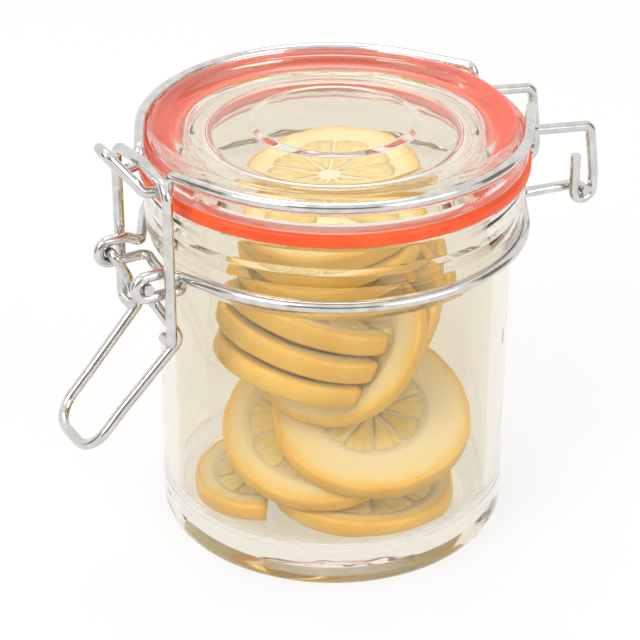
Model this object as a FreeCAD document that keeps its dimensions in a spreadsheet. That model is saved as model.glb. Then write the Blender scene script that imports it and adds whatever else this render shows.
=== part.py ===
"""Small clip-top storage jar with lemon slices, closed and clasped.

Millimetres, +Z up.  The jar's axis is Z and its standing ring is at Z = 0.
The hinge is on the +X side and the clasp on the -X side, both square to Y.
"""
import FreeCAD, Part
import Sketcher
import math
import os
import re

Vector = FreeCAD.Vector
UP = Vector(0, 0, 1)
ALONG_Y = Vector(0, 1, 0)

# ------------------------------------------------------------ driving dimensions
SIZES = [
    # jar glass
    ("body_radius", 33.5, "outside of the straight wall"),
    ("wall", 2.9, "glass thickness of the straight wall"),
    ("base_thickness", 5.0, "glass over the push-up"),
    ("push_up", 1.4, "hollow under the base"),
    ("standing_width", 7.0, "standing ring, measured in from the wall"),
    ("push_up_slope", 2.5, "width of the slope from the ring to the hollow"),
    ("heel_rounding", 3.6, "outside corner of the base"),
    ("floor_rounding", 4.5, "inside corner of the base"),
    ("neck_drop", 11.8, "neck wire's centre line, below the rim"),
    ("neck_ring_offset", 2.5, "neck wire's centre line, out from the wall"),
    ("seat_drop_ratio", 1.0, "lower end of the wire's seat under its centre line, in wire radii"),
    ("ledge_rise_ratio", 0.45, "foot of the ledge above the wire's centre line, in wire radii"),
    ("shoulder_rise", 2.8, "flare from the wall up to the seat"),
    ("ledge_width_ratio", 0.75, "how far the ledge stands out past the seat, in wire radii"),
    ("crease_drop", 6.2, "crease in the neck, below the rim"),
    ("crease_depth", 0.8, "how far the crease goes in"),
    ("crease_width", 1.9, "half the height of the crease"),
    ("rim_level", 74.2, "top of the jar's rim"),
    ("rim_offset", 2.4, "outside of the rim, out from the wall"),
    ("mouth_inset", 4.3, "bore of the mouth, in from the outside of the wall"),
    ("mouth_depth", 8.0, "straight part of the mouth"),
    ("throat_depth", 15.0, "where the bore has widened to the body's"),
    ("glass_rounding", 0.9, "edges of rim, lid and mouth"),
    # gasket
    ("gasket_overhang", 0.8, "how far the rubber ring stands out past the rim"),
    ("gasket_setback", 0.8, "bore of the rubber ring, outside the mouth"),
    ("gasket_thickness", 2.5, "pressed between rim and lid"),
    ("gasket_rounding", 0.7, "its four edges"),
    # lid glass
    ("flange_overhang", 0.3, "lid flange, out past the rim"),
    ("flange_rise", 4.15, "flange height over the gasket"),
    ("flange_rounding", 0.6, "flange edges"),
    ("lid_rise", 2.2, "raised rim over the flange"),
    ("lid_taper", 1.0, "how much the lid's side leans in"),
    ("lid_rim_width", 3.2, "flat of the raised rim"),
    ("lid_dish", 1.4, "depth of the dished ring inside the rim"),
    ("dish_slope", 2.4, "width of the slope from rim to dish"),
    ("boss_radius", 15.0, "round boss in the middle of the lid"),
    ("boss_rise", 0.7, "boss over the rim"),
    ("boss_slope", 1.3, "width of the boss's flank"),
    ("lid_glass", 3.6, "glass under the dish"),
    ("plug_gap", 1.2, "between the lid's centring ring and the mouth"),
    ("plug_width", 3.2, "thickness of that ring"),
    ("plug_slope", 0.8, "lean of that ring's sides"),
    ("plug_depth", 1.0, "how far that ring goes below the rim"),
    # wires
    ("wire_radius", 1.0, "all wires"),
    ("seat_gap", 0.05, "between a ring wire and the glass it lies on"),
    ("running_gap", 0.15, "between a pin and the bend that turns on it"),
    ("side_gap", 0.3, "between wires that pass side by side"),
    ("wire_bend_ratio", 2.2, "centre-line radius of an open bend, in wire radii"),
    ("tight_bend_ratio", 1.5, "centre-line radius of a tight bend, in wire radii"),
    ("pin_bend_ratio", 1.2, "centre-line radius where a pin begins, in wire radii"),
    ("pin_end", 0.4, "how far a pin sticks out of its bend"),
    # hinge
    ("hinge_offset", 13.6, "hinge axis, out from the ring"),
    ("hinge_drop", 0.8, "hinge axis below the neck wire"),
    ("hinge_half_width", 10.3, "lid wire legs from the middle plane"),
    ("drop_offset", 0.6, "where the lid wire drops past the flange, out from the ring"),
    ("drop_height", 5.3, "drop of the lid wire past the flange"),
    ("run_fall", 1.9, "fall of the lid wire along its outward run"),
    ("run_end_offset", 0.8, "outer corner of the lid wire, out from the hinge axis"),
    ("hook_straight", 3.0, "straight run of the hinge hook's outer leg over the axis"),
    ("hook_return", 7.5, "free end of the hinge hook over the axis"),
    # clasp
    ("pivot_offset", 6.8, "lever pivot, out from the ring"),
    ("pivot_drop", 0.7, "lever pivot below the neck wire"),
    ("pivot_inset", 0.7, "gap between the neck wire's eyes and the bail legs, at least"),
    ("leg_root_offset", 0.4, "where the neck wire turns outward, out from the ring"),
    ("eye_lead", 2.8, "rise of the neck wire up to its eyes, along the way out"),
    ("crook_offset", 3.3, "bail pivot in the lever, out from the ring"),
    ("crook_drop", 12.2, "bail pivot below the neck wire"),
    ("bail_half_width", 10.8, "bail legs from the middle plane"),
    ("bail_lift", 1.15, "air between the bail and the nose"),
    ("bail_arch", 1.6, "rise of the bail's top in its middle"),
    ("bail_corner", 3.0, "centre-line radius of the bail's top corners"),
    ("arch_bend", 14.0, "centre-line radius in the middle of the arch"),
    ("bail_offset", 0.2, "bail's top, out from its pivot"),
    ("nose_root_offset", 0.9, "where the nose starts down, out from the ring"),
    ("nose_half_width", 6.3, "nose legs at their root"),
    ("nose_dip", 3.0, "bottom of the nose below the lid wire"),
    ("nose_bend_offset", 5.2, "where the nose turns up, out from the ring"),
    ("nose_bend_half_width", 5.0, "nose legs where they turn up"),
    ("nose_offset", 10.8, "tip of the nose, out from the ring"),
    ("nose_rise", 4.3, "tip of the nose over the lid wire"),
    ("nose_tip_half_width", 1.9, "corners of the nose's tip"),
    ("knee_offset", 5.5, "knee of the lever's handle, out from its pivot"),
    ("knee_drop", 24.8, "knee below the neck wire"),
    ("handle_offset", 12.4, "end of the lever's handle, out from its pivot"),
    ("handle_drop", 32.3, "end of the handle below the neck wire"),
    ("handle_half_width", 7.7, "handle wires from the middle plane"),
    ("handle_bend", 5.2, "centre-line radius of the handle's end corners"),
    ("eye_clear", 5.3, "how far the lever's arms run down before they spread"),
    ("crook_straight", 4.2, "straight run of the lever's arms above the crook"),
    # lemon
    ("slice_rounding", 0.9, "edges of the rind"),
    ("lemon_bore", 30.6, "bore of the jar that the slices' sizes and places are given for"),
    ("lemon_height", 66.8, "height from floor to lid ring that they are given for"),
]

# Sizes that follow from the ones above, so that what fits together stays together.
FOLLOWING = {
    "neck_level": "rim_level - neck_drop",
    "neck_ring_radius": "body_radius + neck_ring_offset",
    "rim_radius": "body_radius + rim_offset",
    "mouth_radius": "body_radius - mouth_inset",
    "gasket_radius": "rim_radius + gasket_overhang",
    "gasket_bore": "mouth_radius + gasket_setback",
    "flange_radius": "rim_radius + flange_overhang",
    "drop_reach": "neck_ring_radius + drop_offset",
    "hinge_reach": "neck_ring_radius + hinge_offset",
    "run_end_reach": "hinge_reach + run_end_offset",
    "pivot_reach": "neck_ring_radius + pivot_offset",
    "leg_root_reach": "neck_ring_radius + leg_root_offset",
    "crook_reach": "neck_ring_radius + crook_offset",
    "bail_reach": "crook_reach + bail_offset",
    "nose_root_reach": "neck_ring_radius + nose_root_offset",
    "nose_bend_reach": "neck_ring_radius + nose_bend_offset",
    "nose_reach": "neck_ring_radius + nose_offset",
    "knee_reach": "pivot_reach + knee_offset",
    "handle_reach": "pivot_reach + handle_offset",
    "pivot_half_width": "bail_half_width - 2 * wire_radius - pivot_inset",
    "wire_bend": "wire_bend_ratio * wire_radius",
    "tight_bend": "tight_bend_ratio * wire_radius",
    "pin_bend": "pin_bend_ratio * wire_radius",
    "ledge_rise": "ledge_rise_ratio * wire_radius",
    "ledge_width": "ledge_width_ratio * wire_radius",
    "seat_drop": "seat_drop_ratio * wire_radius",
}

# sub-part names, which are also the names of their files
JAR_GLASS = "jar_glass"
LID_GLASS = "lid_glass"
GASKET = "gasket"
LID_WIRE = "lid_wire"
NECK_WIRE = "neck_wire"
BAIL = "bail"
LEVER = "lever"

# Lemon slices in the jar.  Each lies about a point of the jar, given by how far
# out it is and in which direction, and by its height over the floor.  It leans
# by an angle towards a direction.  Directions are in degrees round the jar
# from the hinge.  A half slice bulges in its cut direction.  All slices keep
# their shape and grow together with the room in the jar.
WHOLE = None
ROOM_ACROSS = "( body_radius - wall ) / lemon_bore"
ROOM_HIGH = "( rim_level - plug_depth - push_up - base_thickness ) / lemon_height"
SLICES = [
    # name, out, direction, height, lean, lean direction, radius, thickness, cut direction
    ("lemon_floor", 9.6, 278, 2.2, 0, 0, 17.7, 3.8, WHOLE),
    ("lemon_back", 6.9, 221, 14.5, 25, 241, 18.8, 4.0, WHOLE),
    ("lemon_front", 11.1, 282, 18.5, 25, 241, 18.8, 4.2, WHOLE),
    ("lemon_right_1", 6.4, 245, 35.6, 55, 206, 18.5, 4.2, WHOLE),
    ("lemon_right_2", 3.9, 335, 38.6, 55, 206, 18.4, 4.2, WHOLE),
    ("lemon_right_3", 10.0, 26, 41.9, 55, 206, 18.2, 3.9, WHOLE),
    ("lemon_right_4", 1.0, 206, 54.0, 14, 206, 17.6, 4.2, WHOLE),
    ("lemon_right_5", 0.8, 120, 58.7, 14, 206, 17.8, 4.2, WHOLE),
    ("lemon_left_1", 13.4, 173, 2.2, 0, 0, 14.4, 3.8, 151),
    ("lemon_left_2", 12.8, 206, 31.4, 20, 351, 15.4, 4.2, 206),
    ("lemon_left_3", 9.7, 206, 36.1, 20, 351, 17.0, 4.2, 206),
    ("lemon_left_4", 6.6, 206, 40.8, 20, 351, 17.5, 4.2, 206),
    ("lemon_left_5", 10.6, 50, 2.2, 0, 0, 16.4, 3.8, 61),
    ("lemon_left_6", 10.6, 50, 6.3, 9, 241, 16.8, 4.0, 61),
]

# a name in an expression, or what stands between two names
WORD = "[a-z_]+|[^a-z_]+"

doc = FreeCAD.newDocument("clip_top_jar")
sheet = doc.addObject("Spreadsheet::Sheet", "sizes")


def fill_sheet():
    """Write each named size into the sheet, with its meaning beside it."""
    for row, (name, value, meaning) in enumerate(SIZES, start=1):
        sheet.set("A%d" % row, name)
        sheet.set("B%d" % row, str(value))
        sheet.set("C%d" % row, meaning)
        sheet.setAlias("B%d" % row, name)
    doc.recompute()


def spelled(expression):
    """An expression with each following size written out in the sizes it follows from."""
    words = re.findall(WORD, expression)
    while any(word in FOLLOWING for word in words):
        parts = ["( %s )" % FOLLOWING[word] if word in FOLLOWING else word for word in words]
        words = re.findall(WORD, "".join(parts))
    return words


def size(expression):
    """The value of an expression over the named sizes."""
    return float(sheet.evalExpression("".join(spelled(expression))))


def bound(expression):
    """The same expression as an object needs it, with names looked up in the sheet."""
    names = {name for name, value, meaning in SIZES}
    return "".join("sizes." + word if word in names else word for word in spelled(expression))


# --------------------------------------------------------------- turned pieces
def turned_body(label, corners, roundings, turn=360.0):
    """A body turned about Z from a closed half section of straight lines.

    corners: (radius, height) expressions, round the section.
    roundings: (corner numbers, radius expression) for its rounded edges.
    turn: how far the section is turned, in degrees.
    """
    body = doc.addObject("PartDesign::Body", label)
    body.Label = label
    sketch = body.newObject("Sketcher::SketchObject", label + "_section")
    planes = {plane.Role: plane for plane in body.Origin.OriginFeatures}
    sketch.AttachmentSupport = [(planes["XZ_Plane"], "")]
    sketch.MapMode = "FlatFace"
    points = [Vector(size(across), size(height), 0) for across, height in corners]
    count = len(points)
    for number in range(count):
        sketch.addGeometry(Part.LineSegment(points[number], points[(number + 1) % count]), False)
    for number in range(count):
        joined = Sketcher.Constraint("Coincident", (number - 1) % count, 2, number, 1)
        sketch.addConstraint(joined)
    for number, (across, height) in enumerate(corners):
        tie_coordinate(sketch, "DistanceX", number, across, points[number].x)
        tie_coordinate(sketch, "DistanceY", number, height, points[number].y)
    doc.recompute()
    turned = body.newObject("PartDesign::Revolution", label + "_turned")
    turned.Profile = sketch
    turned.ReferenceAxis = (sketch, ["V_Axis"])
    turned.Angle = turn
    doc.recompute()
    latest = turned
    for step, (numbers, radius) in enumerate(roundings):
        edges = ring_edges(latest.Shape, [points[number] for number in numbers])
        rounded = body.newObject("PartDesign::Fillet", "%s_rounding_%d" % (label, step))
        rounded.Base = (latest, edges)
        rounded.Radius = size(radius)
        rounded.setExpression("Radius", bound(radius))
        doc.recompute()
        latest = rounded
    body.Tip = latest
    doc.recompute()
    return body


def tie_coordinate(sketch, kind, number, expression, value):
    """Tie one coordinate of a line's first point to an expression."""
    index = sketch.addConstraint(Sketcher.Constraint(kind, -1, 1, number, 1, value))
    if expression != "0":
        sketch.setExpression("Constraints[%d]" % index, bound(expression))


def ring_edges(shape, corners):
    """Names of the circular edges that the given section corners sweep."""
    near = 1e-4
    found = []
    for number, edge in enumerate(shape.Edges, start=1):
        box = edge.BoundBox
        for corner in corners:
            level = abs(box.ZMin - corner.y) < near and abs(box.ZMax - corner.y) < near
            if level and abs(box.XMax - corner.x) < near:
                found.append("Edge%d" % number)
    if len(set(found)) < len(corners):
        raise ValueError("an edge to round wasn't found")
    return sorted(set(found))


def make_jar_glass():
    seat = "neck_ring_radius - wire_radius - seat_gap"
    ledge = seat + " + ledge_width"
    crease = "rim_radius - crease_depth"
    bore = "body_radius - wall"
    corners = [
        ("0", "push_up"),
        ("body_radius - standing_width - push_up_slope", "push_up"),
        ("body_radius - standing_width", "0"),
        ("body_radius", "0"),
        ("body_radius", "neck_level - seat_drop - shoulder_rise"),
        (seat, "neck_level - seat_drop"),
        (seat, "neck_level + ledge_rise"),
        (ledge, "neck_level + ledge_rise + ledge_width"),
        (ledge, "rim_level - crease_drop - crease_width"),
        (crease, "rim_level - crease_drop"),
        ("rim_radius", "rim_level - crease_drop + crease_width"),
        ("rim_radius", "rim_level"),
        ("mouth_radius", "rim_level"),
        ("mouth_radius", "rim_level - mouth_depth"),
        (bore, "rim_level - throat_depth"),
        (bore, "push_up + base_thickness"),
        ("0", "push_up + base_thickness"),
    ]
    roundings = [
        ([3], "heel_rounding"),
        ([15], "floor_rounding"),
        ([10, 11, 12], "glass_rounding"),
        ([7, 8, 9], "glass_rounding / 2"),
    ]
    return turned_body(JAR_GLASS, corners, roundings)


def make_gasket():
    under = "rim_level"
    over = "rim_level + gasket_thickness"
    corners = [
        ("gasket_bore", under),
        ("gasket_radius", under),
        ("gasket_radius", over),
        ("gasket_bore", over),
    ]
    return turned_body(GASKET, corners, [([0, 1, 2, 3], "gasket_rounding")])


def make_lid_glass():
    under = "rim_level + gasket_thickness"
    flange_top = under + " + flange_rise"
    top = flange_top + " + lid_rise"
    dish = top + " - lid_dish"
    ceiling = dish + " - lid_glass"
    side = "neck_ring_radius - wire_radius - seat_gap"
    plug = "mouth_radius - plug_gap"
    rim_inside = side + " - lid_taper - lid_rim_width"
    corners = [
        ("0", ceiling),
        (plug + " - plug_width - plug_slope", ceiling),
        (plug + " - plug_width", "rim_level - plug_depth"),
        (plug, "rim_level - plug_depth"),
        (plug + " + plug_slope", under),
        ("flange_radius", under),
        ("flange_radius", flange_top),
        (side, flange_top),
        (side + " - lid_taper", top),
        (rim_inside, top),
        (rim_inside + " - dish_slope", dish),
        ("boss_radius", dish),
        ("boss_radius - boss_slope", top + " + boss_rise"),
        ("0", top + " + boss_rise"),
    ]
    roundings = [
        ([8], "glass_rounding"),
        ([5, 6], "flange_rounding"),
        ([2, 3], "glass_rounding"),
        ([9, 10], "glass_rounding"),
        ([11, 12], "flange_rounding"),
    ]
    return turned_body(LID_GLASS, corners, roundings)


# -------------------------------------------------------------------- bent wire
def tangent_arc(before, corner, after, radius):
    """The arc that rounds a corner, or None where the line is straight there."""
    incoming = (corner - before).normalize()
    outgoing = (after - corner).normalize()
    turn = incoming.getAngle(outgoing)
    if turn < 1e-6:
        return None
    reach = radius * math.tan(turn / 2)
    start = corner - incoming * reach
    end = corner + outgoing * reach
    inward = (outgoing - incoming).normalize()
    middle = corner + inward * (radius / math.cos(turn / 2) - radius)
    return start, middle, end


def bent_path(points, bends):
    """Straight runs joined by tangent arcs.  bends: a radius for each inner point."""
    edges = []
    here = points[0]
    for number, radius in enumerate(bends, start=1):
        arc = tangent_arc(points[number - 1], points[number], points[number + 1], radius)
        if arc is None:
            continue
        start, middle, end = arc
        add_line(edges, here, start)
        edges.append(Part.Arc(start, middle, end).toShape())
        here = end
    add_line(edges, here, points[-1])
    return edges


def add_line(edges, start, end):
    if (end - start).Length > 1e-5:
        edges.append(Part.LineSegment(start, end).toShape())


def mirrored(points):
    """The same points on the other side of the middle plane, in reverse order."""
    return [Vector(point.x, -point.y, point.z) for point in reversed(points)]


def circle_arc(radius, level, start, end):
    """Part of a level circle about the jar's axis, from one angle to the other."""
    def at(angle):
        return Vector(radius * math.cos(angle), radius * math.sin(angle), level)
    return Part.Arc(at(start), at((start + end) / 2), at(end)).toShape()


def leaving_angle(radius, point):
    """Where a wire bent round a circle leaves it to run straight to a point outside."""
    distance = math.hypot(point.x, point.y)
    return math.acos(radius / distance)


def pipe(edges):
    """Round wire along a path of joined edges."""
    path = Part.Wire(edges)
    start = edges[0].Vertexes[0].Point
    heading = edges[0].tangentAt(edges[0].FirstParameter)
    profile = Part.Wire(Part.makeCircle(size("wire_radius"), start, heading))
    return path.makePipeShell([profile], True, True)


def wire_feature(label, shape):
    feature = doc.addObject("Part::Feature", label)
    feature.Label = label
    feature.Shape = shape
    feature.Placement = FreeCAD.Placement()
    return feature


def point_at(radius, angle, level):
    return Vector(radius * math.cos(angle), radius * math.sin(angle), level)


def near_angles(radius, hinge_root, clasp_root):
    """Where the near half of a ring wire begins, by the hinge, and ends, by the clasp."""
    begins = math.atan2(hinge_root.y, hinge_root.x) - leaving_angle(radius, hinge_root)
    ends = math.atan2(clasp_root.y, clasp_root.x) + leaving_angle(radius, clasp_root)
    return begins, ends


def symmetric_wire(radius, level, hinge_end, hinge_bends, clasp_end, clasp_bends, bridge):
    """A ring wire with its ends by the hinge, alike on both sides of the middle plane.

    hinge_end: points from the wire's near end to where it meets the ring's tangent.
    clasp_end: points from the ring's tangent to where the two sides meet.
    bridge: edges that join the two sides, or none where clasp_end crosses by itself.
    """
    begins, ends = near_angles(radius, hinge_end[-1], clasp_end[0])
    ring_start = point_at(radius, begins, level)
    ring_end = point_at(radius, ends, level)
    near_hinge = hinge_end + [ring_start]
    near_clasp = [ring_end] + clasp_end
    edges = bent_path(near_hinge, hinge_bends)
    edges.append(circle_arc(radius, level, begins, ends))
    if bridge is None:
        both = near_clasp + mirrored(near_clasp)
        edges.extend(bent_path(both, clasp_bends + clasp_bends[::-1]))
    else:
        edges.extend(bent_path(near_clasp, clasp_bends))
        edges.append(bridge)
        edges.extend(bent_path(mirrored(near_clasp), clasp_bends[::-1]))
    edges.append(circle_arc(radius, level, -ends, -begins))
    edges.extend(bent_path(mirrored(near_hinge), hinge_bends[::-1]))
    return pipe(edges)


def lid_wire_level():
    return size("rim_level + gasket_thickness + flange_rise + wire_radius + seat_gap")


def make_lid_wire():
    """Ring round the lid, with a nose for the bail and two hooks for the hinge."""
    level = lid_wire_level()
    half = size("hinge_half_width")
    drop = size("drop_reach")
    under = level - size("drop_height")
    axis_x = size("hinge_reach")
    axis_z = size("neck_level - hinge_drop")
    eye = size("2 * wire_radius + running_gap")
    tight = size("tight_bend")
    hinge_end = [
        Vector(axis_x - eye, -half, axis_z + size("hook_return")),
        Vector(axis_x - eye, -half, axis_z - eye),
        Vector(axis_x + eye, -half, axis_z - eye),
        Vector(axis_x + eye, -half, axis_z + size("hook_straight")),
        Vector(size("run_end_reach"), -half, under - size("run_fall")),
        Vector(drop, -half, under),
        Vector(drop, -half, level),
    ]
    hinge_bends = [eye, eye, size("wire_bend"), tight, tight, tight]
    root_x = -size("nose_root_reach")
    root_y = -size("nose_half_width")
    dip = level - size("nose_dip")
    nose = [
        Vector(root_x, root_y, level),
        Vector(root_x, root_y, dip),
        Vector(-size("nose_bend_reach"), -size("nose_bend_half_width"), dip),
        Vector(-size("nose_reach"), -size("nose_tip_half_width"), level + size("nose_rise")),
    ]
    nose_bends = [tight, tight, size("wire_bend"), tight]
    ring = size("neck_ring_radius")
    shape = symmetric_wire(ring, level, hinge_end, hinge_bends, nose, nose_bends, None)
    return wire_feature(LID_WIRE, shape)


def make_neck_wire():
    """Ring round the neck, with two hinge pins and two eyes for the lever."""
    level = size("neck_level")
    ring = size("neck_ring_radius")
    root = size("leg_root_reach")
    axis_x = size("hinge_reach")
    axis_z = size("neck_level - hinge_drop")
    leg_y = -size("hinge_half_width - 2 * wire_radius - side_gap")
    pin_y = -size("hinge_half_width + wire_radius + pin_end")
    hinge_end = [
        Vector(axis_x, pin_y, axis_z),
        Vector(axis_x, leg_y, axis_z),
        Vector(root, leg_y, level),
    ]
    hinge_bends = [size("pin_bend"), size("wire_bend")]
    eye = size("2 * wire_radius + running_gap")
    pivot_x = -size("pivot_reach")
    pivot_z = size("neck_level - pivot_drop")
    eye_y = -size("pivot_half_width")
    lower = pivot_z - eye
    bend = size("wire_bend")
    across = math.asin(-eye_y / math.hypot(ring, bend)) - math.atan2(bend, ring)
    arc_end = point_at(ring, -math.pi + across, lower)
    corner = arc_end + Vector(math.sin(across), -math.cos(across), 0) * bend
    clasp_end = [
        Vector(-root, eye_y, level),
        Vector(-root - size("eye_lead"), eye_y, pivot_z + eye),
        Vector(pivot_x - eye, eye_y, pivot_z + eye),
        Vector(pivot_x - eye, eye_y, lower),
        corner,
        arc_end,
    ]
    clasp_bends = [bend, bend, eye, eye, size("tight_bend")]
    bridge = circle_arc(ring, lower, -math.pi + across, -math.pi - across)
    shape = symmetric_wire(ring, level, hinge_end, hinge_bends, clasp_end, clasp_bends, bridge)
    return wire_feature(NECK_WIRE, shape)


def bail_top_level():
    """Height of the arch's middle, so that the bail clears the nose where it crosses it."""
    clear = lid_wire_level() + size("2 * wire_radius + bail_lift - nose_dip")
    crossing = size("nose_half_width / bail_half_width")
    return clear + size("bail_arch") * crossing


def make_bail():
    """Stirrup over the nose.  Its ends turn inward as pins through the lever's eyes."""
    half = size("bail_half_width")
    pivot = Vector(-size("crook_reach"), 0, size("neck_level - crook_drop"))
    pin_y = -lever_eye_y() + size("wire_radius + pin_end")
    top = bail_top_level()
    top_x = -size("bail_reach")
    side = [
        Vector(pivot.x, pin_y, pivot.z),
        Vector(pivot.x, -half, pivot.z),
        Vector(top_x, -half, top - size("bail_arch")),
    ]
    points = side + [Vector(top_x, 0, top)] + mirrored(side)
    bends = [size("pin_bend"), size("bail_corner")]
    return wire_feature(BAIL, pipe(bent_path(points, bends + [size("arch_bend")] + bends[::-1])))


def lever_eye_y():
    """The lever's eyes lie just inside the bail's legs."""
    return size("bail_half_width - 2 * wire_radius - side_gap")


def tangent_towards(centre, radius, outside, side):
    """Direction from an outside point along the tangent to a circle in the middle plane."""
    apart = centre - outside
    straight = math.atan2(apart.z, apart.x)
    angle = straight + side * math.asin(radius / math.hypot(apart.x, apart.z))
    return Vector(math.cos(angle), 0, math.sin(angle))


def crossing_point(start, heading, other, other_heading):
    """Where two lines in the middle plane cross."""
    apart = other - start
    turned = heading.x * other_heading.z - heading.z * other_heading.x
    along = (apart.x * other_heading.z - apart.z * other_heading.x) / turned
    return start + heading * along


def make_lever():
    """Wire lever: pins in the neck wire's eyes, an eye for each bail pin, and a loop handle."""
    eye = size("2 * wire_radius + running_gap")
    pivot = Vector(-size("pivot_reach"), 0, size("neck_level - pivot_drop"))
    crook = Vector(-size("crook_reach"), 0, size("neck_level - crook_drop"))
    knee = Vector(-size("knee_reach"), 0, size("neck_level - knee_drop"))
    end = Vector(-size("handle_reach"), 0, size("neck_level - handle_drop"))
    arm = tangent_towards(crook, eye, pivot, 1)
    shank = tangent_towards(crook, eye, knee, -1)
    vertex = crossing_point(pivot, arm, knee, shank)
    eye_y = -lever_eye_y()
    arm_y = -size("pivot_half_width - 2 * wire_radius - side_gap")
    pin_y = -size("pivot_half_width + wire_radius + pin_end")
    handle_y = -size("handle_half_width")
    inset = pivot + arm * size("eye_clear")
    outset = vertex - arm * size("crook_straight")
    side = [
        Vector(pivot.x, pin_y, pivot.z),
        Vector(pivot.x, arm_y, pivot.z),
        Vector(inset.x, arm_y, inset.z),
        Vector(outset.x, eye_y, outset.z),
        Vector(vertex.x, eye_y, vertex.z),
        Vector(knee.x, handle_y, knee.z),
        Vector(end.x, handle_y, end.z),
    ]
    bend = size("wire_bend")
    bends = [size("pin_bend"), bend, bend, eye, size("handle_bend"), size("handle_bend")]
    points = side + mirrored(side)
    shape = pipe(bent_path(points, bends + bends[::-1]))
    for y in (eye_y, -eye_y):
        coil = Part.makeTorus(eye, size("wire_radius"), Vector(crook.x, y, crook.z), ALONG_Y)
        shape = shape.fuse(coil)
    return wire_feature(LEVER, shape.removeSplitter())


# ------------------------------------------------------------------------ lemon
def make_slice(name, out, direction, height, lean, lean_direction, radius, thickness, cut):
    """One slice of lemon: a disc with a rounded rind, or half of one, in its place."""
    room = "min( %s ; %s )" % (ROOM_ACROSS, ROOM_HIGH)
    edge = "%s * %s" % (radius, room)
    over = "%s / 2 * %s" % (thickness, room)
    under = "-%s / 2 * %s" % (thickness, room)
    corners = [("0", under), (edge, under), (edge, over), ("0", over)]
    rind = [([1, 2], "slice_rounding * " + room)]
    half = cut is not WHOLE
    body = turned_body(name, corners, rind, 180.0 if half else 360.0)
    spin = FreeCAD.Rotation(UP, cut - 90 if half else 0)
    away = math.radians(lean_direction)
    tilt = FreeCAD.Rotation(Vector(-math.sin(away), math.cos(away), 0), lean)
    body.Placement = FreeCAD.Placement(Vector(0, 0, 0), tilt.multiply(spin))
    across = "%s * %s * " % (out, room)
    base = "push_up + base_thickness + %s * %s" % (height, room)
    body.setExpression("Placement.Base.x", bound(across + "cos( %s deg )" % direction))
    body.setExpression("Placement.Base.y", bound(across + "sin( %s deg )" % direction))
    body.setExpression("Placement.Base.z", bound(base))
    doc.recompute()
    return body


# ----------------------------------------------------------------------- checks
def check_document(sub_parts):
    """Stop before anything is written if any object failed or any piece is unsound."""
    for item in doc.Objects:
        if "Invalid" in item.State or "Error" in item.State:
            raise ValueError("failed object: " + item.Name)
    for part in sub_parts:
        if part.Shape.isNull() or not part.Shape.isValid():
            raise ValueError("unsound shape: " + part.Label)
        if len(part.Shape.Solids) != 1:
            raise ValueError("not one solid: " + part.Label)


fill_sheet()
parts = [
    make_jar_glass(),
    make_gasket(),
    make_lid_glass(),
    make_lid_wire(),
    make_neck_wire(),
    make_bail(),
    make_lever(),
]
parts.extend(make_slice(*row) for row in SLICES)
doc.recompute()
check_document(parts)
os.makedirs("parts", exist_ok=True)
for part in parts:
    part.Shape.exportStep("parts/%s.step" % part.Label)
    print("%-16s %9.1f mm3" % (part.Label, part.Shape.Volume))
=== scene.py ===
# %% [markdown]
# # A clamp jar of lemon slices
# The real object is a small pressed-glass jar with a glass lid, an orange rubber
# ring between them, and a closure bent from plated steel wire. Lemon slices are
# packed inside. The wires, the ring and the jar come from the CAD frame with their
# true shapes, so this lesson only gives them finishes. The lid is turned again with
# softer corners. The slices are plain discs in the frame, and are built here with
# rind, pith and segments.

import math
import random

import bmesh
import bpy
import numpy as np
from mathutils import Matrix, Vector


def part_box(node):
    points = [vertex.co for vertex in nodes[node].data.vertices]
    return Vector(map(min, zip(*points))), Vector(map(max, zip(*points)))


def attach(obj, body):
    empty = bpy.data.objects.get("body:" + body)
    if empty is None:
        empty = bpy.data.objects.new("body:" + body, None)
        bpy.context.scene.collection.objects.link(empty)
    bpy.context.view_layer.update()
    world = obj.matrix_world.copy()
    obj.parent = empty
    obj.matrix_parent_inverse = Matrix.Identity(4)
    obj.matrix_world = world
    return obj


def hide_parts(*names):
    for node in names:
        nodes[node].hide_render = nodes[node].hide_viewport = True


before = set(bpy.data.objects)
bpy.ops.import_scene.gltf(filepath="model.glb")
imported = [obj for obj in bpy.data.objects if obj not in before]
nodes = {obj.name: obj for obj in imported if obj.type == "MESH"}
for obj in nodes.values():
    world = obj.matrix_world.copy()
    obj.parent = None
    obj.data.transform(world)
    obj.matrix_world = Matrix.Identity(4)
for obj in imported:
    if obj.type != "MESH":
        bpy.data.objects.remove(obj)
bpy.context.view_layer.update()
MM = 0.001

# %% [markdown]
# Colours are written as hex values, as a colour picker gives them. Blender's
# shaders work in linear light, so one function turns them. A second small
# function adds any shader or geometry node with its settings and links, which
# keeps each material short enough to read.

# %% Colours and nodes
def linear(code):
    """An sRGB hex colour as the linear values a shader socket takes."""
    parts = [int(code[i : i + 2], 16) / 255 for i in (1, 3, 5)]
    return (*(c / 12.92 if c <= 0.04045 else ((c + 0.055) / 1.055) ** 2.4 for c in parts), 1.0)


def add(tree, kind, inputs=None, **settings):
    """A node with its settings. A socket given as an input is linked, a value is set."""
    made = tree.nodes.new(kind)
    for name, value in settings.items():
        setattr(made, name, value)
    for name, value in (inputs or {}).items():
        socket = made.inputs[name]
        if isinstance(value, bpy.types.NodeSocket):
            tree.links.new(value, socket)
        else:
            socket.default_value = value
    return made


def new_material(name, **values):
    """A material with one Principled shader; values are set on its own sockets."""
    made = bpy.data.materials.new(name)
    made.use_nodes = True
    shader = made.node_tree.nodes["Principled BSDF"]
    for socket, value in values.items():
        shader.inputs[socket.replace("_", " ")].default_value = value
    return made, made.node_tree, shader


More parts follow.
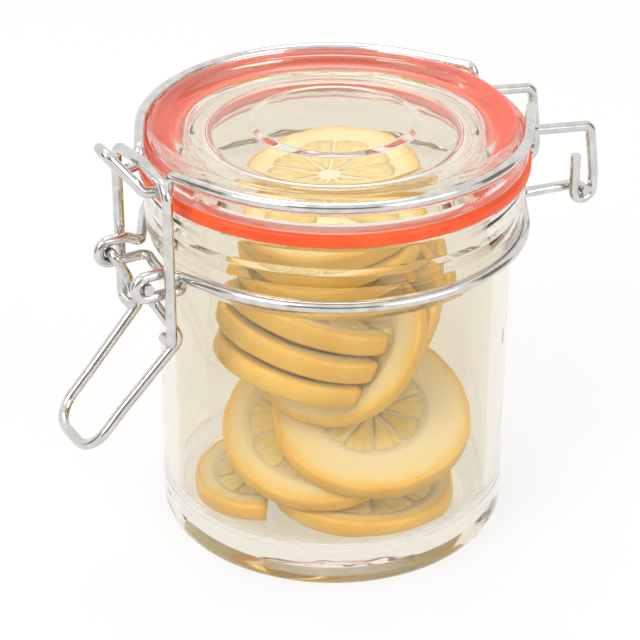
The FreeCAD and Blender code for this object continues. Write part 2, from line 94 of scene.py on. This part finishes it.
def ramp(tree, factor, stops):
    """A colour ramp through (place, hex colour) stops."""
    made = add(tree, "ShaderNodeValToRGB", {"Fac": factor})
    made.color_ramp.elements[0].position = stops[0][0]
    made.color_ramp.elements[0].color = linear(stops[0][1])
    made.color_ramp.elements[1].position = stops[-1][0]
    made.color_ramp.elements[1].color = linear(stops[-1][1])
    for place, code in stops[1:-1]:
        made.color_ramp.elements.new(place).color = linear(code)
    return made.outputs["Color"]


# %% [markdown]
# Pressed soda-lime glass is clear with a faint warm grey cast. Its skin is fire
# polished but never optically flat: the mould leaves soft waves some six
# millimetres long. A clear shader with a gentle bump gives those swimming edges.
# Light reaches the food through the walls, so a shadow ray passes the glass.

# %% Glass
def make_glass():
    made, tree, shader = new_material(
        "soda_lime_glass_pressed", Roughness=0.015, IOR=1.5, Transmission_Weight=1.0
    )
    shader.inputs["Base Color"].default_value = linear("#F3EEE2")
    place = add(tree, "ShaderNodeTexCoord")
    waves = add(
        tree,
        "ShaderNodeTexNoise",
        {"Vector": place.outputs["Object"], "Scale": 1 / (6 * MM), "Detail": 1.0},
    )
    bump = add(
        tree,
        "ShaderNodeBump",
        {"Height": waves.outputs["Fac"], "Strength": 0.12, "Distance": 0.3 * MM},
    )
    tree.links.new(bump.outputs["Normal"], shader.inputs["Normal"])
    rays = add(tree, "ShaderNodeLightPath")
    clear = add(tree, "ShaderNodeBsdfTransparent", {"Color": linear("#EFEDE8")})
    mix = add(
        tree,
        "ShaderNodeMixShader",
        {0: rays.outputs["Is Shadow Ray"], 1: shader.outputs[0], 2: clear.outputs[0]},
    )
    tree.links.new(mix.outputs[0], tree.nodes["Material Output"].inputs["Surface"])
    return made


glass = make_glass()
print("finish", glass.name)

# %% [markdown]
# The closure is drawn steel wire with bright nickel-chrome plating. Drawing
# leaves fine lines and plating rounds them, so the reflections are sharp with a
# slight unevenness. The base stays a neutral pale metal.

# %% Plated wire
def make_wire():
    made, tree, shader = new_material("chrome_plated_steel_wire", Metallic=1.0, Roughness=0.12)
    place = add(tree, "ShaderNodeTexCoord")
    blotch = add(
        tree,
        "ShaderNodeTexNoise",
        {"Vector": place.outputs["Object"], "Scale": 1 / (2.5 * MM), "Detail": 3.0},
    )
    tone = ramp(tree, blotch.outputs["Fac"], [(0.3, "#C8C7C4"), (0.7, "#DEDDDA")])
    tree.links.new(tone, shader.inputs["Base Color"])
    rough = add(tree, "ShaderNodeMapRange", {"Value": blotch.outputs["Fac"], "To Min": 0.07, "To Max": 0.2})
    tree.links.new(rough.outputs["Result"], shader.inputs["Roughness"])
    lines = add(
        tree,
        "ShaderNodeTexNoise",
        {"Vector": place.outputs["Object"], "Scale": 1 / (0.4 * MM), "Detail": 2.0},
    )
    bump = add(
        tree,
        "ShaderNodeBump",
        {"Height": lines.outputs["Fac"], "Strength": 0.08, "Distance": 0.02 * MM},
    )
    tree.links.new(bump.outputs["Normal"], shader.inputs["Normal"])
    return made


wire = make_wire()
print("finish", wire.name)

# %% [markdown]
# The sealing ring is moulded natural rubber, coloured right through. It is
# satin rather than shiny, a little light soaks into it, and its skin has a very
# fine tooth from the mould.

# %% Rubber ring
def make_rubber():
    made, tree, shader = new_material(
        "natural_rubber_moulded", Roughness=0.42, Subsurface_Weight=0.12, Subsurface_Scale=1.0 * MM
    )
    place = add(tree, "ShaderNodeTexCoord")
    cloud = add(
        tree,
        "ShaderNodeTexNoise",
        {"Vector": place.outputs["Object"], "Scale": 1 / (9 * MM), "Detail": 3.0},
    )
    tone = ramp(tree, cloud.outputs["Fac"], [(0.3, "#EE4608"), (0.7, "#F35C1A")])
    tree.links.new(tone, shader.inputs["Base Color"])
    tooth = add(
        tree,
        "ShaderNodeTexNoise",
        {"Vector": place.outputs["Object"], "Scale": 1 / (0.35 * MM), "Detail": 2.0},
    )
    bump = add(
        tree,
        "ShaderNodeBump",
        {"Height": tooth.outputs["Fac"], "Strength": 0.2, "Distance": 0.04 * MM},
    )
    tree.links.new(bump.outputs["Normal"], shader.inputs["Normal"])
    return made


rubber = make_rubber()
print("finish", rubber.name)

# %% [markdown]
# A cut lemon has three finishes. The rind is waxy, with oil glands that dimple
# it about every millimetre. The pith is a soft white felt. The pulp is a fan of
# juice sacs, wet and half clear, so light spreads in it. Sac lines follow each
# segment's own length, which is why the pulp reads a surface map made with it.

# %% Rind
def make_rind():
    made, tree, shader = new_material(
        "lemon_rind_waxed",
        Roughness=0.38,
        Subsurface_Weight=0.3,
        Subsurface_Radius=(1.0, 0.75, 0.4),
        Subsurface_Scale=1.2 * MM,
    )
    place = add(tree, "ShaderNodeTexCoord")
    cloud = add(
        tree,
        "ShaderNodeTexNoise",
        {"Vector": place.outputs["Object"], "Scale": 1 / (7 * MM), "Detail": 3.0},
    )
    tone = ramp(tree, cloud.outputs["Fac"], [(0.3, "#E6B547"), (0.7, "#EDC862")])
    tree.links.new(tone, shader.inputs["Base Color"])
    glands = add(tree, "ShaderNodeTexVoronoi", {"Vector": place.outputs["Object"], "Scale": 1 / (1.1 * MM)})
    bump = add(
        tree,
        "ShaderNodeBump",
        {"Height": glands.outputs["Distance"], "Strength": 0.35, "Distance": 0.12 * MM},
    )
    tree.links.new(bump.outputs["Normal"], shader.inputs["Normal"])
    return made


rind = make_rind()
print("finish", rind.name)

# %% [markdown]
# The pith's map holds the distance from the middle as a share of the radius, so
# its colour can warm towards the rind, where the two really grow together.

# %% Pith
def make_pith():
    made, tree, shader = new_material(
        "lemon_pith_albedo",
        Roughness=0.55,
        Subsurface_Weight=0.35,
        Subsurface_Radius=(1.0, 0.8, 0.5),
        Subsurface_Scale=1.5 * MM,
    )
    place = add(tree, "ShaderNodeTexCoord")
    cloud = add(
        tree,
        "ShaderNodeTexNoise",
        {"Vector": place.outputs["Object"], "Scale": 1 / (3 * MM), "Detail": 4.0},
    )
    sheet = add(tree, "ShaderNodeUVMap", uv_map="sacs")
    out = add(tree, "ShaderNodeSeparateXYZ", {"Vector": sheet.outputs["UV"]})
    near_rind = add(
        tree,
        "ShaderNodeMath",
        {0: cloud.outputs["Fac"], 1: 0.12, 2: out.outputs["X"]},
        operation="MULTIPLY_ADD",
    )
    tone = ramp(tree, near_rind.outputs[0], [(0.6, "#EFE6C6"), (0.92, "#EBDAA2"), (1.1, "#E7C97C")])
    tree.links.new(tone, shader.inputs["Base Color"])
    felt = add(
        tree,
        "ShaderNodeTexNoise",
        {"Vector": place.outputs["Object"], "Scale": 1 / (0.5 * MM), "Detail": 3.0},
    )
    bump = add(
        tree,
        "ShaderNodeBump",
        {"Height": felt.outputs["Fac"], "Strength": 0.3, "Distance": 0.08 * MM},
    )
    tree.links.new(bump.outputs["Normal"], shader.inputs["Normal"])
    return made


pith = make_pith()
print("finish", pith.name)

# %% [markdown]
# The pulp's map is in millimetres along and across a segment. Squeezing the first
# of them stretches the cells into sacs that run out from the core.

# %% Pulp
def make_pulp():
    made, tree, shader = new_material(
        "lemon_pulp_juice_sacs",
        Roughness=0.22,
        Subsurface_Weight=0.5,
        Subsurface_Radius=(1.0, 0.75, 0.4),
        Subsurface_Scale=2.0 * MM,
    )
    sheet = add(tree, "ShaderNodeUVMap", uv_map="sacs")
    long_way = add(tree, "ShaderNodeMapping", {"Vector": sheet.outputs["UV"], "Scale": (0.3, 1.0, 1.0)})
    sacs = add(
        tree,
        "ShaderNodeTexVoronoi",
        {"Vector": long_way.outputs["Vector"], "Scale": 0.7, "Randomness": 0.9},
    )
    place = add(tree, "ShaderNodeTexCoord")
    cloud = add(
        tree,
        "ShaderNodeTexNoise",
        {"Vector": place.outputs["Object"], "Scale": 1 / (5 * MM), "Detail": 3.0},
    )
    both = add(
        tree,
        "ShaderNodeMath",
        {0: sacs.outputs["Distance"], 1: cloud.outputs["Fac"]},
        operation="MULTIPLY",
    )
    tone = ramp(tree, both.outputs["Value"], [(0.05, "#FBE19C"), (0.3, "#F7D280"), (0.55, "#EFC267")])
    tree.links.new(tone, shader.inputs["Base Color"])
    bump = add(
        tree,
        "ShaderNodeBump",
        {"Height": sacs.outputs["Distance"], "Strength": 0.5, "Distance": 0.25 * MM},
        invert=True,
    )
    tree.links.new(bump.outputs["Normal"], shader.inputs["Normal"])
    return made


pulp = make_pulp()
print("finish", pulp.name)

# %% [markdown]
# The lid and all the slices are round, so one helper turns a closed half
# section about the upright axis. A second one rounds the section's corners,
# because pressed glass never keeps a sharp edge: the mould and the flame that
# polishes it leave its corners with radii of about a millimetre.

# %% Turning a section
JOIN = 1e-6


def turned(profile, turn, steps):
    """A mesh from a closed profile of (radius, height, slot), turned about the axis."""
    shape = bmesh.new()
    closed = abs(turn - 2 * math.pi) < JOIN
    rows = steps if closed else steps + 1
    rings = []
    for step in range(rows):
        angle = turn * step / steps
        x, y = math.cos(angle), math.sin(angle)
        rings.append([shape.verts.new((r * x, r * y, h)) for r, h, slot in profile])
    count = len(profile)
    for step in range(steps):
        here, there = rings[step], rings[(step + 1) % rows]
        for i in range(count):
            j = (i + 1) % count
            face = shape.faces.new((here[i], there[i], there[j], here[j]))
            face.material_index = profile[i][2]
    if not closed:
        shape.faces.new(rings[0])
        shape.faces.new(list(reversed(rings[-1])))
        shape.faces.ensure_lookup_table()
        for cut in (shape.faces[-1], shape.faces[-2]):
            cut.material_index = 1
    bmesh.ops.remove_doubles(shape, verts=shape.verts, dist=JOIN)
    bmesh.ops.recalc_face_normals(shape, faces=shape.faces)
    sheet = shape.loops.layers.uv.new("sacs")
    reach = max(r for r, h, slot in profile)
    for face in shape.faces:
        for corner in face.loops:
            spot = corner.vert.co
            corner[sheet].uv = (spot.xy.length / reach, math.atan2(spot.y, spot.x))
    return shape


# %% Rounding a section
LARGEST_SHARE = 0.49


def rounded(corners, steps=6):
    """A section of (radius, height, rounding) corners in mm, as closely spaced points in metres."""
    section = []
    count = len(corners)
    for i, (r, h, rounding) in enumerate(corners):
        here = Vector((r, h))
        if rounding == 0:
            section.append((r * MM, h * MM, 0))
            continue
        before = Vector(corners[i - 1][:2]) - here
        after = Vector(corners[(i + 1) % count][:2]) - here
        half = before.angle(after) / 2
        reach = min(rounding / math.tan(half), LARGEST_SHARE * before.length, LARGEST_SHARE * after.length)
        radius = reach * math.tan(half)
        middle = here + (before.normalized() + after.normalized()).normalized() * (radius / math.sin(half))
        start = here + before.normalized() * reach - middle
        end = here + after.normalized() * reach - middle
        for k in range(steps + 1):
            spot = middle + start.lerp(end, k / steps).normalized() * radius
            section.append((spot.x * MM, spot.y * MM, 0))
    return section


# %% [markdown]
# The CAD lid has small corner radii. The real one is pressed softer: its rim, its
# dished ring and its boss run into one another in smooth waves, and that is what
# bends the orange ring seen through it. So the lid is turned again on the CAD
# lid's plug, flange and rim with generous roundings. Its dish is half a millimetre
# shallower, and its boss a little over a millimetre lower, so that the boss shows
# as a thin ring.

# %% The pressed lid
LID_STEPS = 180


def make_lid():
    low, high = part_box("lid_glass")
    flange = high[0] / MM
    top = high[2] / MM
    plug_foot = low[2] / MM
    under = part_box("gasket")[1][2] / MM
    ceiling = under + 1.35
    flange_top = under + 4.15
    shoulder = under + 4.2
    rim = top - 0.7
    dish = top - 1.6
    boss = top - 1.1
    section = [
        (0.0, ceiling, 0),
        (24.0, ceiling, 1.5),
        (24.8, plug_foot, 1.2),
        (28.0, plug_foot, 1.2),
        (28.8, under, 0.3),
        (flange, under, 0.6),
        (flange, flange_top, 1.4),
        (flange - 1.3, shoulder, 0.8),
        (flange - 2.3, rim, 2.2),
        (flange - 5.6, rim, 2.4),
        (flange - 8.6, dish, 4.0),
        (16.2, dish, 2.0),
        (14.6, boss, 2.0),
        (0.0, boss, 0),
    ]
    shape = turned(rounded(section), 2 * math.pi, LID_STEPS)
    mesh = bpy.data.meshes.new("lid_pressed")
    shape.to_mesh(mesh)
    shape.free()
    for face in mesh.polygons:
        face.use_smooth = True
    mesh.materials.append(glass)
    lid = bpy.data.objects.new("lid_pressed", mesh)
    bpy.context.scene.collection.objects.link(lid)
    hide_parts("lid_glass")
    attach(lid, "jar")
    print("lid faces", len(mesh.polygons))


make_lid()

# %% [markdown]
# The CAD nodes keep their meshes, because their shapes are right. Each takes its
# finish in its material slot. Rings and wires are turned or swept, so their
# facets are shaded smooth across shallow angles by the frame's own normals.

# %% Finish the CAD nodes
finishes = {
    "jar_glass": glass,
    "gasket": rubber,
    "lid_wire": wire,
    "neck_wire": wire,
    "bail": wire,
    "lever": wire,
}
for name, finish in finishes.items():
    nodes[name].data.materials.clear()
    nodes[name].data.materials.append(finish)

# %% [markdown]
# Each CAD slice is a disc or half a disc. Its own corners say where it lies: the
# direction in which they spread least is the slice's axis, and the one in which
# they spread most is along a half slice's cut. Reading them here keeps every
# slice in its place when the jar's sizes change.

# %% Where each slice lies
HALF_SHARE = 0.75  # a half slice is about half as wide as it is long
END_SHARE = 0.93  # corners this far along are at the two ends of the cut


def lie_of(node):
    """Centre, in-plane directions and axis, radius, thickness and whether it is a half slice."""
    corners = np.array([v.co[:] for v in nodes[node].data.vertices])
    corners = np.unique(corners.round(7), axis=0)
    middle = (corners.max(axis=0) + corners.min(axis=0)) / 2
    ways = np.linalg.eigh(np.cov((corners - middle).T))[1]
    axis, across, along = ways[:, 0], ways[:, 1], ways[:, 2]
    spans = [(corners @ way) for way in (along, across, axis)]
    half = np.ptp(spans[1]) < HALF_SHARE * np.ptp(spans[0])
    radius = np.ptp(spans[0]) / 2
    centre = np.array([(s.max() + s.min()) / 2 for s in spans])
    if half:
        ends = spans[1][np.abs(spans[0] - centre[0]) > END_SHARE * radius].mean()
        side = 1 if centre[1] > ends else -1
        across = across * side
        spans[1] = spans[1] * side
        centre[1] = spans[1].min()
    if np.dot(np.cross(along, across), axis) < 0:
        axis = -axis
        centre[2] = -centre[2]
    turn = Matrix((along, across, axis)).transposed()
    place = turn @ Vector(centre)
    return place, turn, radius, np.ptp(spans[2]), half


# %% [markdown]
# A slice's rind and white are one turned ring with a thin web inside it. The web
# shows between the segments as the pale walls and the core. The profile is
# revolved a whole or a half turn, and a half turn is closed by its flat cut.

# %% Rind and white
WEB_DROP = 0.35 * MM  # the web lies this far below the cut face
LIP_DROP = 0.08 * MM  # and the white begins just below it
LIP_IN = 0.4 * MM
LIP_OUT = 0.5 * MM
SKIN_STEPS = 5
HAIR = 1e-7


def slice_profile(radius, thickness, white, skin):
    """Half section of a slice: core, web, white and rounded rind, heights about its middle."""
    top = thickness / 2
    web = top - WEB_DROP
    inner = radius - white
    side = [
        (0.0, web, 1),
        (inner - LIP_IN, web, 1),
        (inner, top - LIP_DROP, 1),
        (inner + LIP_OUT, top, 1),
        (radius - skin, top, 0),
    ]
    for k in range(1, SKIN_STEPS):
        angle = math.pi / 2 * k / SKIN_STEPS
        side.append((radius - skin + skin * math.sin(angle), top - skin + skin * math.cos(angle), 0))
    side.append((radius, 0.0, 0))
    lower = [(r, -h, 0 if r > radius - skin + HAIR else 1) for r, h, slot in reversed(side[:-1])]
    return side + lower


# %% [markdown]
# A lemon's segments repeat round its core, so Geometry Nodes place them: a ring
# of points, one segment on each, turned to face outwards and scaled a little
# differently from a seed. The segment itself is a wedge with rounded corners
# and a swollen top, whose surface map runs along and across its juice sacs.

# %% One segment
HALF_GAP = 0.17 * MM  # half the wall between two segments
CORE = 1.3 * MM
OUTLINE_STEPS = 12
CORNER_DROP = 0.06  # share by which a segment's outer corners are drawn in
MIDDLE_SHARE = 0.55  # the swollen middle, out from the core
TIP_OUT = 0.5 * MM
TIP_HALF = 0.35 * MM
SWELL = [(0.0, 1.0), (0.35, 0.99), (0.7, 0.95), (0.92, 0.86), (1.0, 0.6)]  # (share of outline, height)
SAC_SLANT = 0.3


def segment_loop(inner, spread):
    """The outline of a segment: its rounded outer edge, drawn in from its walls, and its blunt tip."""
    half = spread / 2
    edge = []
    for k in range(OUTLINE_STEPS + 1):
        angle = -half + spread * k / OUTLINE_STEPS
        reach = inner * (1 - CORNER_DROP * (abs(2 * k / OUTLINE_STEPS - 1)) ** 4)
        limit = half - HALF_GAP / reach
        angle = max(-limit, min(limit, angle))
        edge.append(Vector((reach * math.cos(angle), reach * math.sin(angle), 0)))
    tip = CORE + TIP_OUT
    return [Vector((tip, -TIP_HALF, 0)), *edge, Vector((tip, TIP_HALF, 0))]


def segment_mesh(inner, spread, height):
    """A wedge from the core out to radius inner, spread radians wide, swollen on both faces."""
    shape = bmesh.new()
    sheet = shape.loops.layers.uv.new("sacs")
    loop = segment_loop(inner, spread)
    middle = Vector((MIDDLE_SHARE * inner, 0, 0))
    rows = []
    for scale, level in [(o, -h) for o, h in SWELL] + SWELL[::-1]:
        z = level * height / 2
        spots = [middle] if scale == 0.0 else [middle + (p - middle) * scale for p in loop]
        rows.append([shape.verts.new((spot.x, spot.y, z)) for spot in spots])
    for a, b in zip(rows, rows[1:]):
        count = len(loop)
        for i in range(count):
            j = (i + 1) % count
            if len(a) == 1:
                corners = (a[0], b[j], b[i])
            elif len(b) == 1:
                corners = (a[i], a[j], b[0])
            else:
                corners = (a[i], a[j], b[j], b[i])
            shape.faces.new(corners)
    bmesh.ops.recalc_face_normals(shape, faces=shape.faces)
    for face in shape.faces:
        face.smooth = True
        for corner in face.loops:
            co = corner.vert.co
            corner[sheet].uv = (co.x / MM, co.y / MM + SAC_SLANT * co.z / MM)
    mesh = bpy.data.meshes.new("segment")
    shape.to_mesh(mesh)
    shape.free()
    return mesh


# %% The tree that fans the segments
def fan_tree():
    """Geometry Nodes: the incoming rind and white, joined by a fan of segments."""
    tree = bpy.data.node_groups.new("segment_fan", "GeometryNodeTree")
    face = tree.interface
    face.new_socket("Geometry", in_out="INPUT", socket_type="NodeSocketGeometry")
    face.new_socket("Segment", in_out="INPUT", socket_type="NodeSocketObject")
    face.new_socket("Count", in_out="INPUT", socket_type="NodeSocketInt")
    face.new_socket("Turn", in_out="INPUT", socket_type="NodeSocketFloat")
    face.new_socket("Start", in_out="INPUT", socket_type="NodeSocketFloat")
    face.new_socket("Seed", in_out="INPUT", socket_type="NodeSocketInt")
    face.new_socket("Pulp", in_out="INPUT", socket_type="NodeSocketMaterial")
    face.new_socket("Geometry", in_out="OUTPUT", socket_type="NodeSocketGeometry")
    given = add(tree, "NodeGroupInput").outputs
    step = add(tree, "ShaderNodeMath", {0: given["Turn"], 1: given["Count"]}, operation="DIVIDE")
    points = add(tree, "GeometryNodePoints", {"Count": given["Count"]})
    number = add(tree, "GeometryNodeInputIndex")
    middle = add(tree, "ShaderNodeMath", {0: number.outputs[0], 1: 0.5}, operation="ADD")
    angle = add(
        tree,
        "ShaderNodeMath",
        {0: middle.outputs[0], 1: step.outputs[0], 2: given["Start"]},
        operation="MULTIPLY_ADD",
    )
    turn = add(tree, "ShaderNodeCombineXYZ", {"Z": angle.outputs[0]})
    size = add(
        tree,
        "FunctionNodeRandomValue",
        {0: (0.94, 0.97, 0.96), 1: (1.0, 1.0, 1.06), "Seed": given["Seed"]},
        data_type="FLOAT_VECTOR",
    )
    segment = add(tree, "GeometryNodeObjectInfo", {"Object": given["Segment"], "As Instance": True})
    placed = add(
        tree,
        "GeometryNodeInstanceOnPoints",
        {
            "Points": points.outputs[0],
            "Instance": segment.outputs["Geometry"],
            "Rotation": turn.outputs[0],
            "Scale": size.outputs[0],
        },
    )
    real = add(tree, "GeometryNodeRealizeInstances", {"Geometry": placed.outputs[0]})
    wet = add(tree, "GeometryNodeSetMaterial", {"Geometry": real.outputs[0], "Material": given["Pulp"]})
    joined = add(tree, "GeometryNodeJoinGeometry")
    tree.links.new(wet.outputs[0], joined.inputs[0])
    tree.links.new(given["Geometry"], joined.inputs[0])
    add(tree, "NodeGroupOutput", {"Geometry": joined.outputs[0]})
    return tree


fan = fan_tree()


def set_input(modifier, name, value):
    """Sets a Geometry Nodes input by its socket's identifier."""
    for item in modifier.node_group.interface.items_tree:
        if item.in_out == "INPUT" and item.name == name:
            modifier[item.identifier] = value


# %% [markdown]
# Every slice is cut from the same fan with its own seed, radius and number of
# segments, then bent a little, because a wet slice sags between the ones it
# leans on. Its place comes last and goes into its mesh.

# %% Build the slices
SKIN = 1.1 * MM
FRONT_WHITE = 0.42  # the front slice is cut near the lemon's end, where its white is thick
FACETS = 72
SEED = 11


def make_slice(node, seed):
    """The detailed slice that stands for one CAD disc."""
    place, turn, radius, thickness, half = lie_of(node)
    chance = random.Random(seed)
    sweep = math.pi if half else 2 * math.pi
    count = chance.choice((4, 5)) if half else chance.choice((9, 10))
    white = (FRONT_WHITE if node == "lemon_front" else chance.uniform(0.17, 0.26)) * radius
    profile = slice_profile(radius, thickness, white, SKIN)
    shape = turned(profile, sweep, FACETS // 2 if half else FACETS)
    body = bpy.data.meshes.new(node + "_white")
    shape.to_mesh(body)
    shape.free()
    body.materials.append(rind)
    body.materials.append(pith)
    for face in body.polygons:
        face.use_smooth = True
    segment = bpy.data.objects.new("segment", segment_mesh(radius - white, sweep / count, thickness))
    bpy.context.scene.collection.objects.link(segment)
    whole = bpy.data.objects.new(node + "_whole", body)
    bpy.context.scene.collection.objects.link(whole)
    fanned = whole.modifiers.new("segments", "NODES")
    fanned.node_group = fan
    set_input(fanned, "Segment", segment)
    set_input(fanned, "Count", count)
    set_input(fanned, "Turn", sweep)
    set_input(fanned, "Start", 0.0 if half else chance.uniform(0, 1))
    set_input(fanned, "Seed", seed)
    set_input(fanned, "Pulp", pulp)
    bpy.context.view_layer.update()
    graph = bpy.context.evaluated_depsgraph_get()
    mesh = bpy.data.meshes.new_from_object(whole.evaluated_get(graph), depsgraph=graph)
    bpy.data.objects.remove(whole)
    bpy.data.objects.remove(segment)
    sag = chance.uniform(-0.5, 0.5) * MM
    way = chance.uniform(0, math.pi)
    for vertex in mesh.vertices:
        angle = math.atan2(vertex.co.y, vertex.co.x)
        share = vertex.co.xy.length / radius
        vertex.co.z += sag * share**2 * math.cos(2 * (angle - way))
    mesh.transform(Matrix.Translation(place) @ turn.to_4x4())
    mesh.name = node + "_cut"
    piece = bpy.data.objects.new(node + "_cut", mesh)
    bpy.context.scene.collection.objects.link(piece)
    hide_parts(node)
    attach(piece, "jar")
    return piece


slices = [make_slice(name, SEED + i) for i, name in enumerate(sorted(nodes)) if name.startswith("lemon")]
print("slices", len(slices), "faces", sum(len(s.data.polygons) for s in slices))

# %% [markdown]
# The floor is a wide pale sheet. The camera, and whatever is seen in metal or
# through glass, finds it and the world white, while light that falls on the floor
# still shows the jar's soft shadow.

# %% Floor and world
FLOOR_REACH = 3.0
FLOOR_GLOW = 0.72  # the rest is lit paper, which keeps the shadow
WORLD_LIGHT = 0.55


def seen_rays(tree):
    """1 for a ray that shows the stage: from the camera, off metal or through glass."""
    rays = add(tree, "ShaderNodeLightPath").outputs
    seen = rays["Is Camera Ray"]
    for kind in ("Is Glossy Ray", "Is Transmission Ray"):
        seen = add(tree, "ShaderNodeMath", {0: seen, 1: rays[kind]}, operation="MAXIMUM").outputs[0]
    return seen


def make_floor():
    mesh = bpy.data.meshes.new("floor")
    corners = [(x * FLOOR_REACH, y * FLOOR_REACH, 0) for x, y in ((-1, -1), (1, -1), (1, 1), (-1, 1))]
    mesh.from_pydata(corners, [], [(0, 1, 2, 3)])
    floor = bpy.data.objects.new("floor", mesh)
    bpy.context.scene.collection.objects.link(floor)
    made, tree, shader = new_material("studio_paper", Roughness=0.9)
    shader.inputs["Base Color"].default_value = linear("#F2F1EF")
    part = add(tree, "ShaderNodeMath", {0: seen_rays(tree), 1: FLOOR_GLOW}, operation="MULTIPLY")
    glow = add(tree, "ShaderNodeEmission", {"Color": linear("#FFFFFF"), "Strength": 1.0})
    mix = add(tree, "ShaderNodeMixShader", {0: part.outputs[0], 1: shader.outputs[0], 2: glow.outputs[0]})
    tree.links.new(mix.outputs[0], tree.nodes["Material Output"].inputs["Surface"])
    mesh.materials.append(made)


def make_world():
    world = bpy.data.worlds.new("studio")
    bpy.context.scene.world = world
    world.use_nodes = True
    tree = world.node_tree
    ground = tree.nodes["Background"]
    level = add(tree, "ShaderNodeMapRange", {"Value": seen_rays(tree), "To Min": WORLD_LIGHT, "To Max": 1.0})
    tree.links.new(level.outputs["Result"], ground.inputs["Strength"])
    ground.inputs["Color"].default_value = linear("#FFFFFF")


make_floor()
make_world()
print("floor", FLOOR_REACH * 2, "m wide")

# %% [markdown]
# Three large soft lamps stand high on the left, low on the right and overhead.
# Mid-brown cards beside and in front of the jar, unseen by the camera, draw the
# edges of glass and wire, as they do in a studio. They glow evenly, so that no
# reflection of them turns black.

# %% Lamps
def add_lamp(name, place, aim, width, height, power):
    data = bpy.data.lights.new(name, "AREA")
    data.shape = "RECTANGLE"
    data.size = width
    data.size_y = height
    data.energy = power
    lamp = bpy.data.objects.new(name, data)
    lamp.location = place
    lamp.rotation_euler = (Vector(aim) - Vector(place)).to_track_quat("-Z", "Y").to_euler()
    bpy.context.scene.collection.objects.link(lamp)


add_lamp("key", (-0.75, -0.25, 0.75), (0, 0, 0.04), 0.5, 0.5, 5.5)
add_lamp("fill", (0.35, -0.85, 0.45), (0, 0, 0.04), 0.6, 0.4, 3.0)
add_lamp("top", (0.1, 0.3, 0.95), (0, 0, 0.05), 0.5, 0.5, 2.8)
print("lamps", len(bpy.data.lights))

# %% Cards
def add_card(name, place, width, height, heading):
    """A brown card that only reflections and refractions find."""
    mesh = bpy.data.meshes.new(name)
    x, z = width / 2, height / 2
    mesh.from_pydata([(-x, 0, -z), (x, 0, -z), (x, 0, z), (-x, 0, z)], [], [(0, 1, 2, 3)])
    mesh.transform(Matrix.Translation(place) @ Matrix.Rotation(heading, 4, "Z"))
    card = bpy.data.objects.new(name, mesh)
    bpy.context.scene.collection.objects.link(card)
    made, _, shader = new_material(name + "_card", Roughness=0.9)
    shader.inputs["Base Color"].default_value = linear("#000000")
    shader.inputs["Emission Color"].default_value = linear("#8F8678")
    shader.inputs["Emission Strength"].default_value = 1.0
    mesh.materials.append(made)
    card.visible_camera = False
    card.visible_diffuse = False
    card.visible_shadow = False


add_card("card_left", (-0.34, 0.06, 0.12), 0.16, 0.34, math.radians(70))
add_card("card_right", (0.3, -0.12, 0.12), 0.16, 0.34, math.radians(75))
add_card("card_front", (-0.45, -0.82, 0.35), 0.9, 0.55, math.radians(-29))

# %% [markdown]
# The camera stands where a product shot is taken from: about half a metre off,
# nearly thirty degrees above the table, with a long lens that keeps the jar's
# sides almost parallel.

# %% Camera
HEADING, DOWN, ROLL = -28.646, 28.842, 0.259
LENS = 137.96

camera_data = bpy.data.cameras.new("camera")
camera_data.sensor_width = 36.0
camera_data.lens = LENS
camera = bpy.data.objects.new("camera", camera_data)
camera.location = (-0.2014, -0.3634, 0.2689)
heading = Matrix.Rotation(math.radians(HEADING), 3, "Z")
tilt = Matrix.Rotation(math.radians(90 - DOWN), 3, "X")
roll = Matrix.Rotation(math.radians(ROLL), 3, "Z")
camera.rotation_euler = (heading @ tilt @ roll).to_euler()
bpy.context.scene.collection.objects.link(camera)
bpy.context.scene.camera = camera
print("camera", [round(v, 3) for v in camera.location], "lens", LENS)

# %% [markdown]
# Colours are shown as they are written. Thick glass sends light round inside
# itself many times, and a path that is cut short shows as a black streak, so
# reflections inside glass get as many bounces as transmission does.

# %% View and bounces
bpy.context.scene.view_settings.view_transform = "Standard"
cycles = bpy.context.scene.cycles
cycles.max_bounces = 24
cycles.transmission_bounces = 20
cycles.glossy_bounces = 20
cycles.transparent_max_bounces = 16
